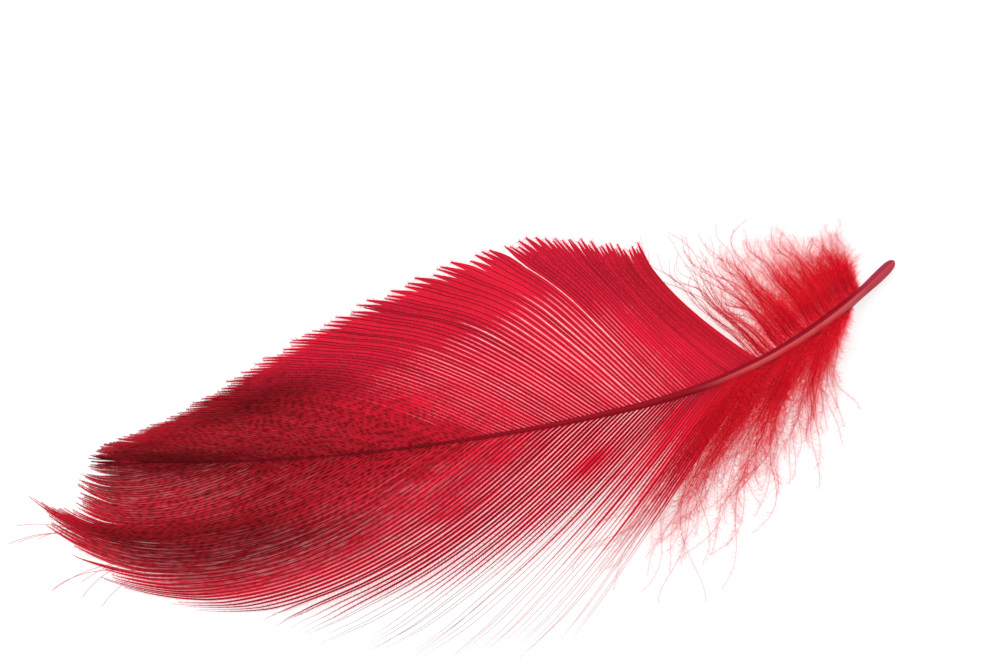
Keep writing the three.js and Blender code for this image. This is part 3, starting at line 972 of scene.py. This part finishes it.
def fluff(side, points, barb_backs, length):
    """The down's barbules: narrow ribbons of two parts on both flanks of each barb, leaning forward, bent to
    one side and raised or lowered, shorter towards the barb's end."""
    steps = (np.arange(FLUFF_PER_SIDE) + 0.5) / FLUFF_PER_SIDE
    jitter = rng.uniform(-0.5, 0.5, (DOWN_BARBS, 2, FLUFF_PER_SIDE)) / FLUFF_PER_SIDE
    where = np.clip(steps**1.3 + jitter, 0.01, 1.0)
    flank = np.broadcast_to(np.array([-1.0, 1.0])[None, :, None], where.shape)
    forward, sideways, upward = (read_along(part, where) for part in directions(points))
    place = (barb_backs - DOWN_FROM) / (side["down_to"] - DOWN_FROM)
    fullness = even_steps(side["fluff"], place)[:, None, None]
    travelled = where * length[:, None, None]
    reach = rng.uniform(0.8, 2.5, where.shape) * (1.0 - 0.62 * where**1.4) * fullness
    reach = np.minimum(reach, 0.2 + 0.7 * travelled)
    lean = np.radians(rng.normal(38.0, 18.0, where.shape))
    raised = np.radians(rng.normal(0.0, 35.0, where.shape)) * smoothstep(travelled, 0.0, 4.0)
    bend = np.radians(rng.normal(0.0, 50.0, where.shape))
    chain = [read_along(points, where)]
    for part in range(FLUFF_PARTS):
        turn = lean + bend * part / FLUFF_PARTS
        level = np.cos(turn)[..., None] * forward + (flank * np.sin(turn))[..., None] * sideways
        heading = np.cos(raised)[..., None] * level + np.sin(raised)[..., None] * upward
        chain.append(chain[-1] + (reach / FLUFF_PARTS)[..., None] * heading)
    chain = np.stack(chain, axis=3)
    chain[..., 2] = np.maximum(chain[..., 2], 0.02)
    half_width = 0.5 * np.array(FLUFF_WIDTHS) * (1.0 - 0.6 * where)[..., None]
    half = half_width[..., None] * (forward - 0.4 * upward)[..., None, :]
    ribbons = np.stack([chain - half, chain + half], axis=4).reshape(-1, 2 * (FLUFF_PARTS + 1), 3)
    ribbons[..., 2] = np.maximum(ribbons[..., 2], LOWEST)
    base = (np.arange(len(ribbons)) * 2 * (FLUFF_PARTS + 1))[:, None, None]
    row = 2 * np.arange(FLUFF_PARTS)[None, :, None]
    facing = flank.reshape(-1)[:, None, None] > 0
    corners = np.where(facing, np.array([0, 1, 3, 2]), np.array([2, 3, 1, 0]))
    faces = (base + row + corners).reshape(-1, 4)
    out = np.linspace(0.0, 1.0, FLUFF_PARTS + 1) * reach[..., None]
    along = travelled[..., None] + 0.5 * out
    aside = barb_backs[:, None, None, None] + 0.7 * flank[..., None] * out
    u = np.stack([along - half_width, along + half_width], axis=4).reshape(-1)
    v = np.stack([aside, aside], axis=4).reshape(-1)
    return ribbons.reshape(-1, 3), faces, np.stack([u / ALONG_SCALE, v / BACK_SCALE], axis=-1)


def source_origin():
    """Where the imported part's origin lies in the source's frame: the lowest corner of the shaft in the
    source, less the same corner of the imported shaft."""
    distance = np.linspace(0.0, SHAFT_LENGTH, 800)
    centre, radius = shaft_centre(distance), shaft_radius(distance)
    _, sideways, upward = shaft_frame(distance)
    spread = radius[:, None] * np.sqrt(sideways**2 + upward**2)
    low = (centre - spread).min(axis=0)
    packed = np.array(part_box("shaft")[0]) / MM
    return np.array([low[0] - packed[0], low[1] - packed[1], 0.0])


ORIGIN = source_origin()

make_shaft(shaft_material())
down_barb_red = down_barb_material()
down_red = down_material()
for one_side in (NEAR, FAR):
    make_down(one_side, down_barb_red, down_red)
for one_side in (NEAR, FAR):
    make_vane(one_side, barb_material(one_side), web_material(one_side))

# Floor, light and camera
FLOOR_HALF = 2.0
AIM = np.array([4.3, 11.3, 0.0])
ELEVATION = math.radians(65.0)
LENS = 100.0
SENSOR = 36.0
PHOTO_WIDTH = 1000.0
PIXELS_PER_MM = 10.0
FLOOR_GREY = (0.3, 0.3, 0.3, 1.0)
FLOOR_GLOW = 0.75
WORLD_GLOW = 0.43


def make_floor():
    """A plain white floor that gives a little light of its own."""
    mesh = bpy.data.meshes.new("floor")
    corners = [(x * FLOOR_HALF, y * FLOOR_HALF, 0.0) for x, y in ((-1, -1), (1, -1), (1, 1), (-1, 1))]
    mesh.from_pydata(corners, [], [(0, 1, 2, 3)])
    material, tree = new_material("white_floor")
    inputs = {"Base Color": FLOOR_GREY, "Roughness": 0.9, "Emission Color": WHITE}
    inputs["Emission Strength"] = FLOOR_GLOW
    surface = add_node(tree, "ShaderNodeBsdfPrincipled", inputs)
    add_node(tree, "ShaderNodeOutputMaterial", {"Surface": surface.outputs[0]})
    mesh.materials.append(material)
    add_object("floor", mesh)


def add_softbox(name, place, size, power):
    """A square soft light at a place in metres, facing the part's origin."""
    light = bpy.data.lights.new(name, "AREA")
    light.size = size
    light.energy = power
    lamp = add_object(name, light)
    lamp.location = place
    x, y, z = place
    lamp.rotation_euler = (math.acos(z / np.linalg.norm(place)), 0.0, math.atan2(y, x) + math.pi / 2.0)


def make_camera():
    """The photograph's view: from the front and above, with a long lens."""
    camera = bpy.data.cameras.new("camera")
    camera.lens = LENS
    camera.sensor_width = SENSOR
    camera.clip_start = 0.01
    distance = LENS / SENSOR * PHOTO_WIDTH / PIXELS_PER_MM
    eye = AIM - ORIGIN + distance * np.array([0.0, -math.cos(ELEVATION), math.sin(ELEVATION)])
    holder = add_object("camera", camera)
    holder.location = eye * MM
    holder.rotation_euler = (math.pi / 2.0 - ELEVATION, 0.0, 0.0)
    bpy.context.scene.camera = holder


make_floor()
add_softbox("overhead", (0.0, 0.25, 0.6), size=0.7, power=2.9)
add_softbox("left_front", (-0.5, -0.3, 0.45), size=0.4, power=2.3)
make_camera()

world = bpy.data.worlds.new("studio")
world.use_nodes = True
background = world.node_tree.nodes["Background"]
background.inputs["Color"].default_value = WHITE
background.inputs["Strength"].default_value = WORLD_GLOW
bpy.context.scene.world = world
bpy.context.scene.view_settings.view_transform = "Standard"
